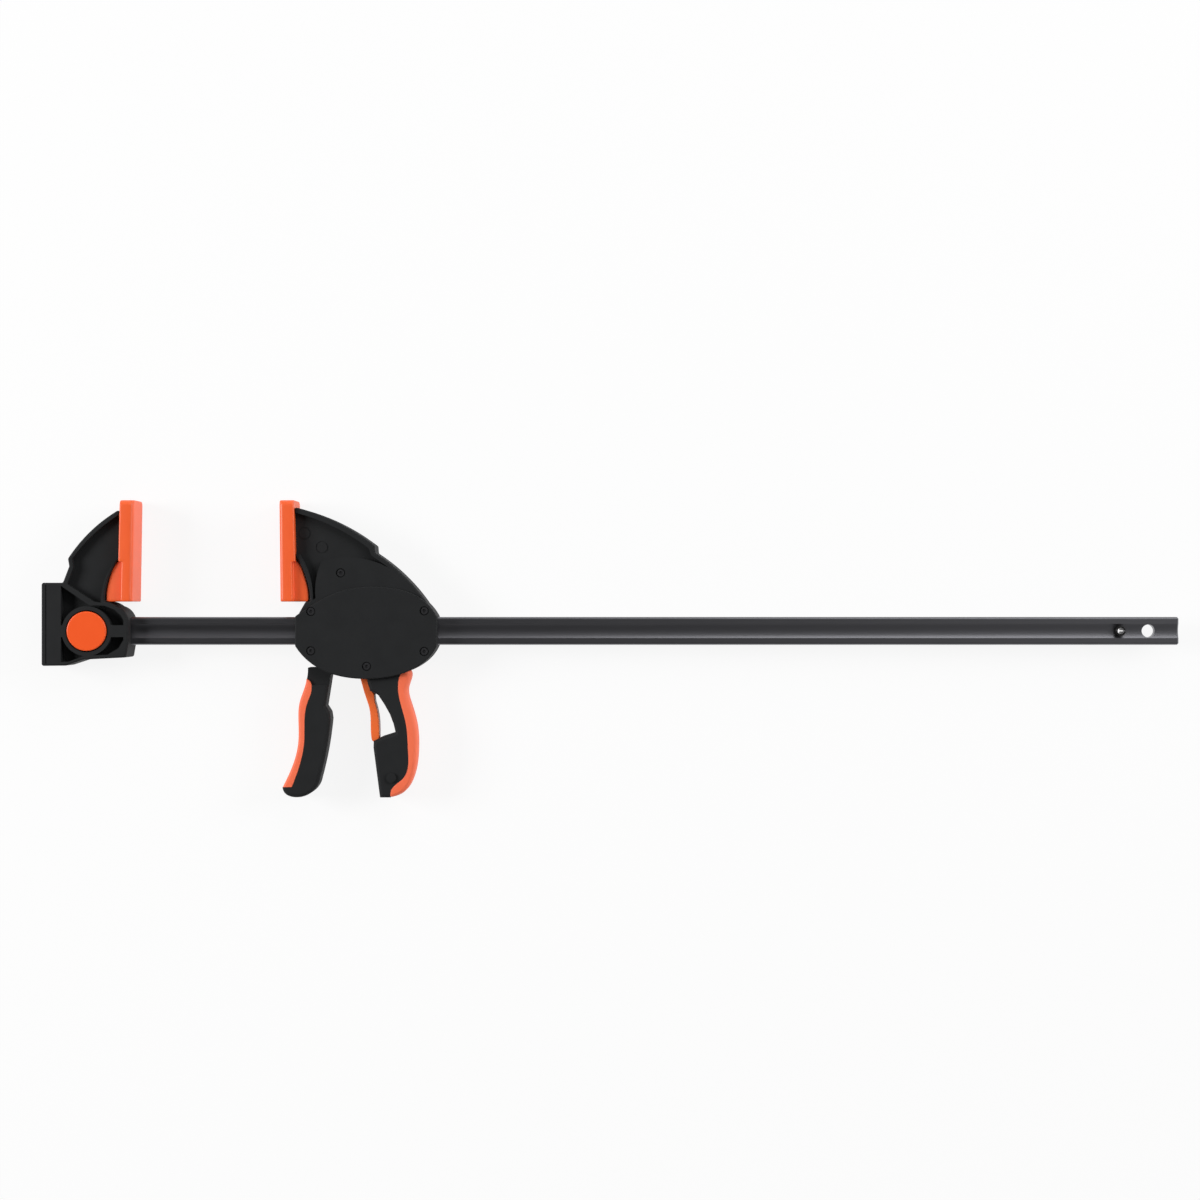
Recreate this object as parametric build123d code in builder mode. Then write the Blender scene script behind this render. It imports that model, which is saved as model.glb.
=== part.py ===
"""Quick release bar clamp with a fixed jaw, a sliding trigger jaw and a release lever.

The clamp lies on its side: +X runs along the bar to its tail, +Y points to the jaw tips and
+Z is up, through the clamp's thickness. Outlines are drawn on the clamp's middle plane, where
u is measured along the bar from the fixed jaw's clamping face and v from the bar's centre line.
Heights are measured up and down from that plane.
"""
import os
from math import cos, radians, sin

from build123d import *

os.makedirs("parts", exist_ok=True)

# ---------------------------------------------------------------- driving dimensions, mm
# bar
BAR_WIDTH = 22.2  # 7/8 inch
BAR_THICK = 8.0
BAR_HEAD = -60.0  # end inside the fixed jaw
BAR_TAIL = 831.6
BAR_CORNER = 1.9
GROOVE_HALF = 5.7
GROOVE_DEPTH = 1.4
LOCK_HOLE_RADIUS = 5.2
STOP_PIN_U = 784.6
STOP_PIN_RADIUS = 4.0
TAIL_HOLE_U = 807.5
TAIL_HOLE_RADIUS = 5.2

# widths and heights of the jaws
PAD_HALF = 18.0
JAW_BACK = -73.5
JAW_HALF = 15.0
PAD_TOP = 104.0
PAD_FOOT = 23.4
GRIP_BOTTOM = -132.4
WING_HALF = 13.0

# fixed jaw and its release button
BUTTON = (-37.6, 0.0)
BUTTON_RADIUS = 15.7
BUTTON_TOP = 16.2
BORE_RADIUS = 16.6
RING_RADIUS = 19.8
SEAT_HEIGHT = 6.0  # floors of the two button bores
LEG_OUT = 14.9
LEG_IN = 11.9
LEG_HALF = 4.0
LOCK_PIN_RADIUS = 5.1
LOCK_PIN_TIP = 2.5
CARRIER_TOP = -8.2
CARRIER_THICK = 3.0
CARRIER_SCREW_V = 13.4

# moving housing
HOUSING_FRONT = 128.0
HOUSING_REAR = 240.2
END_HALF = 11.8  # half height of the flat ends round the bar
LENS_HEIGHT = 17.0
DECK_HEIGHT = 15.0
WEB_HEIGHT = 10.5
WALL = 3.0
GRIP_HALF = 12.5
BAR_GAP = 0.3

# trigger, drive plates and drive spring
TRIGGER_PIVOT = (160.0, 23.0)
PIVOT_PIN_RADIUS = 2.5
RUNNING_GAP = 0.05
TRIGGER_HALF = 11.0
FORK_HALF = 9.0
FORK_GAP = 4.9
DRIVE_PIN = (158.5, -18.5)
DRIVE_PIN_RADIUS = 4.0
PLATE_THICK = 3.0
PLATE_HALF = 9.5
DRIVE_FACE_U = 162.65
SPRING_RADIUS = 12.6
SPRING_WIRE = 0.7
WALL_FRONT_U = 187.5  # partition that carries the drive spring
WALL_REAR_U = 189.7

# release lever and brake plates
RELEASE_PIVOT = (184.6, -27.9)
LEVER_HALF = 6.0
BRAKE_SEAT = (191.65, 20.5)
BRAKE_TILT = 2.0
BRAKE_TOP = 22.0
BRAKE_TAIL = -42.5
BRAKE_HALF = 9.0
BRAKE_SPRING_FROM = 198.0
BRAKE_SPRING_TO = 223.7

# housing screws: u, v and the height of the face they start from
HOUSING_SCREWS = [
    (140.4, 15.6, LENS_HEIGHT),
    (140.4, -15.6, LENS_HEIGHT),
    (230.3, 16.1, LENS_HEIGHT),
    (230.3, -16.1, LENS_HEIGHT),
    (*RELEASE_PIVOT, LENS_HEIGHT),
    (163.8, 46.2, DECK_HEIGHT),
    (203.7, -116.5, GRIP_HALF),
]
SCREW_HEAD_RADIUS = 3.2
SCREW_HEAD_THICK = 2.2
SCREW_RADIUS = 1.6
SCREW_SINK = 1.0  # depth of the head's top below the face
BOSS_RADIUS = 3.9

# ---------------------------------------------------------------- the frame
CENTRE_U = (JAW_BACK + BAR_TAIL) / 2
CENTRE_V = (PAD_TOP + GRIP_BOTTOM) / 2
MID = Plane(origin=(-CENTRE_U, -CENTRE_V, PAD_HALF))


def across(u):
    """Plane square to the bar at u: its x axis is v, its y axis is height."""
    return Plane(MID.from_local_coords((u, 0, 0)), x_dir=(0, 1, 0), z_dir=(1, 0, 0))


def slab(profile, low, high, mode=Mode.ADD):
    """Raise a profile drawn on the middle plane into a slab between two heights."""
    extrude(profile.sketch.moved(Location((0, 0, low))), amount=high - low, mode=mode)


def rounds(points, radius, low, high, mode=Mode.ADD):
    """Round posts, or with Mode.SUBTRACT round holes, between two heights."""
    with BuildSketch(MID) as circles:
        with Locations(*points):
            Circle(radius)
    slab(circles, low, high, mode)


def block(u_low, v_low, u_high, v_high, low, high, mode=Mode.ADD):
    """Rectangular block, given by two opposite corners and two heights."""
    with BuildSketch(MID) as oblong:
        with Locations(((u_low + u_high) / 2, (v_low + v_high) / 2)):
            Rectangle(u_high - u_low, v_high - v_low)
    slab(oblong, low, high, mode)


def outline(*points):
    """Straight-sided profile on the middle plane."""
    with BuildSketch(MID) as straight:
        with BuildLine():
            Polyline(*points, close=True)
        make_face()
    return straight


def soften(piece, corner, edge):
    """Round a slab's upright corners, then the rims of its two broad faces."""
    fillet(piece.edges().filter_by(Axis.Z), corner)
    fillet(piece.edges().group_by(Axis.Z)[-1] + piece.edges().group_by(Axis.Z)[0], edge)


def save(piece, name):
    """Label a finished piece and write it as its own file."""
    piece.part.label = name
    export_step(piece.part, f"parts/{name}.step")


# ---------------------------------------------------------------- bar and stop pin
GROOVE_RADIUS = (GROOVE_HALF**2 + GROOVE_DEPTH**2) / (2 * GROOVE_DEPTH)
GROOVE_CENTRE = BAR_THICK / 2 - GROOVE_DEPTH + GROOVE_RADIUS

with BuildPart() as bar:
    with BuildSketch(across(BAR_HEAD)) as section:
        Rectangle(BAR_WIDTH, BAR_THICK)
        fillet(section.vertices(), BAR_CORNER)
        with Locations((0, GROOVE_CENTRE), (0, -GROOVE_CENTRE)):
            Circle(GROOVE_RADIUS, mode=Mode.SUBTRACT)
    extrude(amount=BAR_TAIL - BAR_HEAD)
    chamfer(bar.faces().sort_by(Axis.X)[-1].edges(), 1.0)
    rounds([BUTTON], LOCK_HOLE_RADIUS, -BAR_THICK, BAR_THICK, Mode.SUBTRACT)
    rounds([(STOP_PIN_U, 0)], STOP_PIN_RADIUS, -BAR_THICK, BAR_THICK, Mode.SUBTRACT)
    rounds([(TAIL_HOLE_U, 0)], TAIL_HOLE_RADIUS, -BAR_THICK, BAR_THICK, Mode.SUBTRACT)
save(bar, "bar")

# rolled spring pin, slit along one side
STOP_PIN_HALF = 7.5
STOP_PIN_BORE = 2.6
STOP_PIN_SLIT = 0.9
with BuildPart() as stop_pin:
    rounds([(STOP_PIN_U, 0)], STOP_PIN_RADIUS, -STOP_PIN_HALF, STOP_PIN_HALF)
    chamfer(stop_pin.edges(), 0.6)
    rounds([(STOP_PIN_U, 0)], STOP_PIN_BORE, -STOP_PIN_HALF, STOP_PIN_HALF, Mode.SUBTRACT)
    block(
        STOP_PIN_U, -STOP_PIN_SLIT / 2, STOP_PIN_U + 2 * STOP_PIN_RADIUS, STOP_PIN_SLIT / 2,
        -STOP_PIN_HALF, STOP_PIN_HALF, Mode.SUBTRACT,
    )
save(stop_pin, "stop_pin")

# ---------------------------------------------------------------- pads
# Each pad's face leans so that the tips meet first; its back leans a little more.
FIXED_FACE = [(0.2, PAD_TOP), (-1.1, PAD_FOOT)]
FIXED_BACK = [(-10.8, PAD_TOP), (-12.7, PAD_FOOT)]
MOVING_FACE = [(115.4, PAD_TOP), (116.3, PAD_FOOT)]
MOVING_BACK = [(127.0, PAD_TOP), (129.0, PAD_FOOT)]
PAD_CORNER = 6.0
RIB_HALF = 5.0  # rib on the pad's back that slides into the jaw
RIB_DEPTH = 2.5


def along(line, v):
    """The u of a leaning line at height v."""
    (u_top, v_top), (u_foot, v_foot) = line
    return u_top + (u_foot - u_top) * (v_top - v) / (v_top - v_foot)


def pad(face, back, wing, toward_jaw):
    """Soft jaw pad: a leaning block, a wing behind its foot and a rib along its back."""
    with BuildPart() as soft:
        slab(outline(face[0], face[1], back[1], back[0]), -PAD_HALF, PAD_HALF)
        upright = soft.edges().filter_by(Axis.X, tolerance=4).group_by(Axis.Y)[-1]
        fillet(upright, PAD_CORNER)
        slab(wing, -WING_HALF, WING_HALF)
        rib_top, rib_foot = PAD_TOP - 12, PAD_FOOT + 38
        rib = outline(
            (along(back, rib_top), rib_top),
            (along(back, rib_foot), rib_foot),
            (along(back, rib_foot) + toward_jaw * RIB_DEPTH, rib_foot),
            (along(back, rib_top) + toward_jaw * RIB_DEPTH, rib_top),
        )
        slab(rib, -RIB_HALF, RIB_HALF)
    return soft, rib


with BuildSketch(MID) as fixed_wing:
    with BuildLine():
        ThreePointArc((-11.9, 56.2), (-18.6, 44.5), (-22.6, PAD_FOOT + 0.6))
        Line((-22.6, PAD_FOOT + 0.6), (-12.0, PAD_FOOT + 0.6))
        Line((-12.0, PAD_FOOT + 0.6), (-11.9, 56.2))
    make_face()
fixed_pad, fixed_rib = pad(FIXED_FACE, FIXED_BACK, fixed_wing, -1)
save(fixed_pad, "fixed_pad")

with BuildSketch(MID) as moving_wing:
    with BuildLine():
        ThreePointArc((128.0, 55.6), (134.4, 43.0), (138.0, PAD_FOOT + 0.6))
        Line((138.0, PAD_FOOT + 0.6), (128.0, PAD_FOOT + 0.6))
        Line((128.0, PAD_FOOT + 0.6), (128.0, 55.6))
    make_face()
movable_pad, moving_rib = pad(MOVING_FACE, MOVING_BACK, moving_wing, 1)
save(movable_pad, "movable_pad")

# ---------------------------------------------------------------- fixed jaw
JAW_WEB = 9.5  # height of the arm's sunk face
POCKET_FLOOR = 6.5
BAR_FIT = 0.1

with BuildSketch(MID) as jaw_outline:
    with BuildLine():
        Polyline(
            (-4.4, 9.0), (-4.4, -9.0), (-6.4, -20.9), (-40.0, -22.6), (-54.5, -27.4),
            (JAW_BACK, -27.6), (JAW_BACK, 38.4), (-56.6, 38.4), (-51.6, 51.5), (-52.6, 57.5),
        )
        ThreePointArc((-52.6, 57.5), (-34.8, 79.2), (-11.0, 97.0))
        Line((-11.0, 97.0), (-12.0, 57.6))
        ThreePointArc((-12.0, 57.6), (-19.6, 44.0), (-23.4, 23.6))
        ThreePointArc((-23.4, 23.6), (-18.6, 22.5), (-14.0, 19.8))
        ThreePointArc((-14.0, 19.8), (-7.4, 15.4), (-4.4, 9.0))
    make_face()

# sunk face of the arm, inside its rim
with BuildSketch(MID) as arm_recess:
    with BuildLine():
        ThreePointArc((-49.0, 57.5), (-32.2, 76.8), (-9.0, 94.4))
        Polyline((-9.0, 94.4), (-9.0, 58.6), (-14.2, 56.4))
        ThreePointArc((-14.2, 56.4), (-22.2, 43.2), (-26.4, 22.6))
        Polyline((-26.4, 22.6), (-32.0, 23.6), (-53.0, 37.4), (-48.2, 50.4), (-49.0, 57.5))
    make_face()

# four pockets round the button's ring
with BuildSketch(MID) as jaw_pockets:
    with BuildLine():
        Polyline(
            (-58.0, 36.0), (-35.5, 20.6), (-23.6, 20.2), (-15.5, 17.0), (-10.4, 12.4), (-8.4, 8.6),
            (-8.4, -7.0), (-12.4, -13.6), (-21.0, -18.7), (-38.7, -19.4), (-52.5, -24.4),
            (-58.0, -24.4), close=True,
        )
    make_face()
    with Locations(BUTTON):
        Circle(RING_RADIUS, mode=Mode.SUBTRACT)
    with Locations(((JAW_BACK) / 2, 0)):
        Rectangle(-2 * JAW_BACK, 9.4, mode=Mode.SUBTRACT)

with BuildPart() as fixed_jaw:
    slab(jaw_outline, -JAW_HALF, JAW_HALF)
    soften(fixed_jaw, 1.8, 1.5)
    for side in (1, -1):
        low, high = sorted((side * JAW_WEB, side * (JAW_HALF + 1)))
        slab(arm_recess, low, high, Mode.SUBTRACT)
        low, high = sorted((side * POCKET_FLOOR, side * (JAW_HALF + 1)))
        slab(jaw_pockets, low, high, Mode.SUBTRACT)
        low, high = sorted((side * SEAT_HEIGHT, side * (JAW_HALF + 1)))
        rounds([BUTTON], BORE_RADIUS, low, high, Mode.SUBTRACT)
    slot_half = BAR_WIDTH / 2 + BAR_FIT
    slot_high = BAR_THICK / 2 + BAR_FIT
    block(BAR_HEAD, -slot_half, 0, slot_half, -slot_high, slot_high, Mode.SUBTRACT)
    rounds([BUTTON], LOCK_PIN_RADIUS + 0.4, -SEAT_HEIGHT, SEAT_HEIGHT, Mode.SUBTRACT)
    leg_half, leg_out = LEG_HALF + 0.4, LEG_OUT + 0.4
    block(
        BUTTON[0] - leg_half, -leg_out, BUTTON[0] + leg_half, leg_out,
        -SEAT_HEIGHT, SEAT_HEIGHT, Mode.SUBTRACT,
    )
    slab(fixed_rib, -RIB_HALF, RIB_HALF, Mode.SUBTRACT)
    # shallow line that sets the spreading face apart
    for side in (1, -1):
        low, high = sorted((side * (JAW_HALF - 0.5), side * (JAW_HALF + 1)))
        block(JAW_BACK + 3.2, -26, JAW_BACK + 4.0, 36.5, low, high, Mode.SUBTRACT)
save(fixed_jaw, "fixed_jaw")

# ---------------------------------------------------------------- button that frees the jaw
CAP_UNDER = 14.0
with BuildPart() as release_button:
    rounds([BUTTON], BUTTON_RADIUS, 12.9, BUTTON_TOP)
    rounds([BUTTON], BUTTON_RADIUS - 1.8, 12.9, CAP_UNDER, Mode.SUBTRACT)
    fillet(release_button.edges().group_by(Axis.Z)[-1], 1.0)
    for side in (1, -1):
        v_low, v_high = sorted((side * LEG_IN, side * LEG_OUT))
        block(
            BUTTON[0] - LEG_HALF, v_low, BUTTON[0] + LEG_HALF, v_high, CARRIER_TOP, CAP_UNDER
        )
    screws_at = [(BUTTON[0], side * CARRIER_SCREW_V) for side in (1, -1)]
    rounds(screws_at, 0.9, CARRIER_TOP, CARRIER_TOP + 6, Mode.SUBTRACT)
save(release_button, "release_button")

CARRIER_FOOT = CARRIER_TOP - CARRIER_THICK
with BuildPart() as lock_pin_carrier:
    rounds([BUTTON], BUTTON_RADIUS, CARRIER_FOOT, CARRIER_TOP)
    chamfer(lock_pin_carrier.edges().group_by(Axis.Z)[0], 0.5)
    rounds([BUTTON], LOCK_PIN_RADIUS, CARRIER_FOOT, CARRIER_TOP, Mode.SUBTRACT)
    rounds(screws_at, 1.1, CARRIER_FOOT, CARRIER_TOP, Mode.SUBTRACT)
    rounds(screws_at, 1.9, CARRIER_FOOT, CARRIER_FOOT + 1.4, Mode.SUBTRACT)
save(lock_pin_carrier, "lock_pin_carrier")

with BuildPart() as lock_pin:
    rounds([BUTTON], LOCK_PIN_RADIUS, CARRIER_FOOT, LOCK_PIN_TIP)
    chamfer(lock_pin.edges().group_by(Axis.Z)[-1], 0.5)
save(lock_pin, "lock_pin")

with BuildPart() as carrier_screws:
    rounds(screws_at, 1.8, CARRIER_FOOT, CARRIER_FOOT + 1.4)
    rounds(screws_at, 0.9, CARRIER_FOOT + 1.4, CARRIER_TOP + 5)
    rounds(screws_at, 0.8, CARRIER_FOOT, CARRIER_FOOT + 0.7, Mode.SUBTRACT)
save(carrier_screws, "carrier_screws")


def coil(start, direction, length, wire, radius, turns, name):
    """Open coil spring of round wire along a direction."""
    with BuildPart() as spring:
        with BuildLine() as path:
            Helix(
                pitch=length / turns, height=length, radius=radius,
                center=start, direction=direction,
            )
        with BuildSketch(path.line ^ 0):
            Circle(wire)
        sweep(is_frenet=True)
    save(spring, name)


# two turns only, so that it closes nearly flat under the button
BUTTON_WIRE = 0.4
button_floor = MID.from_local_coords((*BUTTON, SEAT_HEIGHT + BUTTON_WIRE + 0.1))
button_gap = CAP_UNDER - SEAT_HEIGHT - 2 * BUTTON_WIRE - 0.3
coil(button_floor, (0, 0, 1), button_gap, BUTTON_WIRE, 9.2, 2, "button_spring")

# ---------------------------------------------------------------- moving housing
def lens_shape(front, rear, end, crown, belly):
    """Oval with flat ends round the bar: crown and belly hold the points of its two curves."""
    with BuildSketch(MID) as oval:
        with BuildLine():
            Spline((front, end), *crown, (rear, end))
            Line((rear, end), (rear, -end))
            Spline((rear, -end), *belly, (front, -end))
            Line((front, -end), (front, end))
        make_face()
    return oval


lens = lens_shape(
    HOUSING_FRONT, HOUSING_REAR, END_HALF,
    [(141.5, 21.0), (164.8, 32.2), (192.0, 35.3), (219.4, 30.6)],
    [(232.6, -22.6), (220.5, -30.6), (184.0, -37.9), (150.0, -31.2)],
)

# the jaw's arm and the shoulder that joins it to the lens
with BuildSketch(MID) as arm:
    with BuildLine():
        ThreePointArc((127.2, 98.4), (160.5, 86.8), (190.9, 67.9))
        Line((190.9, 67.9), (191.4, 62.2))
        ThreePointArc((191.4, 62.2), (215.0, 43.2), (237.4, 14.8))
        Polyline(
            (237.4, 14.8), (200.0, 0.0), (150.0, 0.0), (130.4, 13.6), (136.0, 23.4), (139.6, 23.6),
        )
        ThreePointArc((139.6, 23.6), (136.0, 43.4), (128.2, 58.6))
        Line((128.2, 58.6), (127.2, 98.4))
    make_face()

# sunk face of the arm, between its rim and the raised deck
with BuildSketch(MID) as web_recess:
    with BuildLine():
        ThreePointArc((125.0, 94.6), (158.6, 82.8), (186.0, 65.8))
        Polyline((186.0, 65.8), (188.2, 60.2), (202.6, 50.0))
        ThreePointArc((202.6, 50.0), (174.0, 58.4), (148.8, 55.4))
        ThreePointArc((148.8, 55.4), (145.2, 45.0), (144.0, 26.0))
        Line((144.0, 26.0), (141.8, 24.8))
        ThreePointArc((141.8, 24.8), (139.2, 44.6), (131.4, 60.8))
        Polyline((131.4, 60.8), (125.0, 61.6), (125.0, 94.6))
    make_face()

EJECTORS = [(148.6, 66.5), (134.6, 77.6)]
EJECTOR_RADIUS = 5.0
EJECTOR_DEPTH = 0.35
with BuildSketch(MID) as ejector_rings:
    with Locations(*EJECTORS):
        Circle(EJECTOR_RADIUS)
        Circle(EJECTOR_RADIUS - 0.9, mode=Mode.SUBTRACT)

# grip with its overmoulded back, and the seam between the two
GRIP_FRONT = [
    (184.0, -30.0), (184.0, -38.0), (186.6, -47.6), (193.1, -50.8), (197.9, -58.0),
    (202.4, -66.0), (205.4, -73.9), (207.0, -80.8), (196.0, -84.3), (189.6, -87.4),
    (189.4, -92.6), (194.6, GRIP_BOTTOM),
]
GRIP_BACK = [
    (203.0, GRIP_BOTTOM), (213.0, -128.6), (221.0, -116.0), (224.3, -94.0), (223.2, -75.0),
    (218.2, -57.0), (216.4, -45.0), (218.8, -33.0), (214.0, -28.0),
]
GRIP_SEAM = [
    (203.0, GRIP_BOTTOM), (203.8, -126.2), (213.2, -117.0), (217.0, -94.0), (215.4, -73.9),
    (211.0, -57.0), (209.1, -45.0), (211.4, -33.0), (214.0, -28.0),
]
with BuildSketch(MID) as grip:
    with BuildLine():
        Polyline(*GRIP_FRONT, GRIP_BACK[0])
        Spline(*GRIP_BACK)
        Line(GRIP_BACK[-1], GRIP_FRONT[0])
    make_face()
with BuildSketch(MID) as grip_back:
    with BuildLine():
        Spline(*GRIP_BACK)
        Spline(*GRIP_SEAM)
    make_face()
with BuildPart() as whole_grip:
    slab(grip, -GRIP_HALF, GRIP_HALF)
    soften(whole_grip, 0.8, 3.0)

with BuildPart() as grip_overmould:
    add(whole_grip.part)
    slab(grip_back, -GRIP_HALF, GRIP_HALF, Mode.INTERSECT)
    slab(lens, -LENS_HEIGHT, LENS_HEIGHT, Mode.SUBTRACT)
save(grip_overmould, "grip_overmould")

with BuildPart() as lens_block:
    slab(lens, -LENS_HEIGHT, LENS_HEIGHT)
    soften(lens_block, 1.5, 1.0)

with BuildPart() as arm_block:
    slab(arm, -DECK_HEIGHT, DECK_HEIGHT)
    soften(arm_block, 1.5, 1.4)
    for side in (1, -1):
        low, high = sorted((side * WEB_HEIGHT, side * (DECK_HEIGHT + 1)))
        slab(web_recess, low, high, Mode.SUBTRACT)
        # shallow rings that the mould's ejectors leave on the sunk face
        low, high = sorted((side * (WEB_HEIGHT - EJECTOR_DEPTH), side * WEB_HEIGHT))
        slab(ejector_rings, low, high, Mode.SUBTRACT)

# rooms inside the housing
mechanism_room = lens_shape(
    HOUSING_FRONT + WALL, HOUSING_REAR - WALL, END_HALF - 1.6,
    [(148.4, 22.6), (186.0, 31.8), (219.4, 25.2)],
    [(220.0, -26.2), (184.0, -35.6), (151.3, -28.4)],
)
with BuildSketch(MID) as arm_room:
    with BuildLine():
        Polyline(
            (134.6, 90.0), (136.0, 58.0), (142.2, 40.0), (157.0, 36.0), (157.0, 53.0),
            (176.0, 53.0), (186.0, 60.0), (160.0, 79.0), close=True,
        )
    make_face()
with BuildSketch(MID) as grip_room:
    with BuildLine():
        Polyline(
            (193.6, -92.0), (212.0, -92.0), (211.0, -106.0), (207.6, -110.4), (199.0, -111.0),
            (195.0, -108.0), close=True,
        )
    make_face()
# path of the release lever's end, cut into the lower part of the grip
LEVER_REACH = 61.6
with BuildSketch(MID) as lever_channel:
    with Locations(RELEASE_PIVOT):
        Circle(LEVER_REACH)
    with Locations((197.0, -85.5)):
        Rectangle(20.0, 10.0, mode=Mode.INTERSECT)

INSIDE = LENS_HEIGHT - WALL
FORK_ROOM = FORK_HALF + 0.4
LEVER_ROOM = LEVER_HALF + 0.5
BRAKE_ROOM = BRAKE_HALF + 0.5
SLEEVE_HALF = 10.0
PIVOT_PIN_HALF = 13.0
BAR_PASS_V = BAR_WIDTH / 2 + BAR_GAP
BAR_PASS_HIGH = BAR_THICK / 2 + BAR_GAP
BOSSES = [(u, v) for u, v, _ in HOUSING_SCREWS if (u, v) != RELEASE_PIVOT]

with BuildPart() as housing:
    add(whole_grip.part)
    slab(grip_back, -LENS_HEIGHT, LENS_HEIGHT, Mode.SUBTRACT)
    add(arm_block.part)
    add(lens_block.part)
    slab(mechanism_room, -INSIDE, INSIDE, Mode.SUBTRACT)
    slab(arm_room, 3 - WEB_HEIGHT, WEB_HEIGHT - 3, Mode.SUBTRACT)
    slab(grip_room, -BRAKE_ROOM, BRAKE_ROOM, Mode.SUBTRACT)
    slab(lever_channel, -LEVER_ROOM, LEVER_ROOM, Mode.SUBTRACT)
    slab(moving_rib, -RIB_HALF, RIB_HALF, Mode.SUBTRACT)
    # openings in the floor of the lens for trigger, lever and brake plates
    block(144.3, -42, 176.5, -18, -FORK_ROOM, FORK_ROOM, Mode.SUBTRACT)
    block(176.0, -54, 195.4, -30, -LEVER_ROOM, LEVER_ROOM, Mode.SUBTRACT)
    block(187.9, -44.5, 200.5, -30, -BRAKE_ROOM, BRAKE_ROOM, Mode.SUBTRACT)
    rounds([TRIGGER_PIVOT], 7.2, -FORK_ROOM, FORK_ROOM, Mode.SUBTRACT)
    # bosses, spring walls and the seat of the brake plates
    rounds(BOSSES, BOSS_RADIUS, -INSIDE, INSIDE)
    for side in (1, -1):
        low, high = sorted((side * (FORK_HALF + 0.25), side * INSIDE))
        rounds([TRIGGER_PIVOT], 5.0, low, high)
        low, high = sorted((side * (LEVER_HALF + 0.3), side * INSIDE))
        rounds([RELEASE_PIVOT], 4.5, low, high)
    block(WALL_FRONT_U, -20, WALL_REAR_U, 20, -INSIDE, INSIDE)
    block(WALL_FRONT_U, 14.5, WALL_REAR_U, 26, -INSIDE, INSIDE)
    block(WALL_FRONT_U, BRAKE_SEAT[1] + 0.1, BRAKE_SEAT[0] - 0.1, 26, -INSIDE, INSIDE)
    block(WALL_FRONT_U, BRAKE_TOP + 0.5, 202, 26, -INSIDE, INSIDE)
    block(199.4, 14.5, 202, 26, -INSIDE, INSIDE)
    block(BRAKE_SPRING_TO, -27, BRAKE_SPRING_TO + 2.2, 27, -INSIDE, INSIDE)
    # bar passage and pin holes
    block(
        HOUSING_FRONT - 5, -BAR_PASS_V, HOUSING_REAR + 5, BAR_PASS_V,
        -BAR_PASS_HIGH, BAR_PASS_HIGH, Mode.SUBTRACT,
    )
    rounds([TRIGGER_PIVOT], PIVOT_PIN_RADIUS, -PIVOT_PIN_HALF, PIVOT_PIN_HALF, Mode.SUBTRACT)
    rounds([RELEASE_PIVOT], PIVOT_PIN_RADIUS, -SLEEVE_HALF, SLEEVE_HALF, Mode.SUBTRACT)


def half_housing(is_cover):
    """One moulded half: the cover takes the screw heads, the base their threads."""
    with BuildPart() as shell:
        add(housing.part)
        low, high = (0, PAD_HALF) if is_cover else (-PAD_HALF, 0)
        block(HOUSING_FRONT - 5, GRIP_BOTTOM, HOUSING_REAR, PAD_TOP, low, high, Mode.INTERSECT)
        for u, v, face in HOUSING_SCREWS:
            seat = face - SCREW_SINK - SCREW_HEAD_THICK
            if is_cover:
                rounds([(u, v)], SCREW_RADIUS + 0.2, 0, face, Mode.SUBTRACT)
                rounds([(u, v)], SCREW_HEAD_RADIUS + 0.4, seat, face + 1, Mode.SUBTRACT)
            else:
                rounds([(u, v)], SCREW_RADIUS, 4 - face, 0, Mode.SUBTRACT)
    return shell


housing_cover = half_housing(True)
save(housing_cover, "housing_cover")
housing_base = half_housing(False)
save(housing_base, "housing_base")

with BuildPart() as housing_screws:
    for u, v, face in HOUSING_SCREWS:
        head_top = face - SCREW_SINK
        seat = head_top - SCREW_HEAD_THICK
        rounds([(u, v)], SCREW_HEAD_RADIUS, seat, head_top)
        rounds([(u, v)], SCREW_RADIUS, 4.5 - face, seat)
        rounds([(u, v)], 1.3, head_top - 1.3, head_top, Mode.SUBTRACT)
save(housing_screws, "housing_screws")

# ---------------------------------------------------------------- pivots
with BuildPart() as trigger_pivot_pin:
    rounds([TRIGGER_PIVOT], PIVOT_PIN_RADIUS, -PIVOT_PIN_HALF, PIVOT_PIN_HALF)
    chamfer(trigger_pivot_pin.edges(), 0.4)
save(trigger_pivot_pin, "trigger_pivot_pin")

with BuildPart() as release_pivot_sleeve:
    rounds([RELEASE_PIVOT], PIVOT_PIN_RADIUS, -SLEEVE_HALF, SLEEVE_HALF)
    rounds([RELEASE_PIVOT], SCREW_RADIUS + 0.1, -SLEEVE_HALF, SLEEVE_HALF, Mode.SUBTRACT)
save(release_pivot_sleeve, "release_pivot_sleeve")

# ---------------------------------------------------------------- trigger
with BuildSketch(MID) as trigger_handle:
    with BuildLine():
        Spline(
            (137.0, -29.0), (135.2, -42.0), (130.2, -57.5), (129.4, -72.0), (129.1, -90.0),
            (124.5, -107.8), (116.8, -124.5),
        )
        Spline(
            (116.8, -124.5), (119.6, -129.9), (128.0, GRIP_BOTTOM), (139.0, -129.2),
            (146.8, -117.5),
        )
        Spline((146.8, -117.5), (151.6, -97.0), (155.4, -70.0))
        Polyline((155.4, -70.0), (154.6, -64.4), (151.4, -59.4), (155.4, -34.0), (155.4, -29.0))
        Line((155.4, -29.0), (137.0, -29.0))
    make_face()

with BuildSketch(MID) as trigger_strip:
    with BuildLine():
        Spline(
            (133.0, -37.6), (137.8, -38.8), (140.4, -46.0), (137.0, -57.0), (134.9, -68.0),
            (134.5, -88.0), (130.8, -106.8), (124.6, -124.0),
        )
        Polyline((124.6, -124.0), (105.0, -124.6), (105.0, -37.6), (133.0, -37.6))
    make_face()

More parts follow.
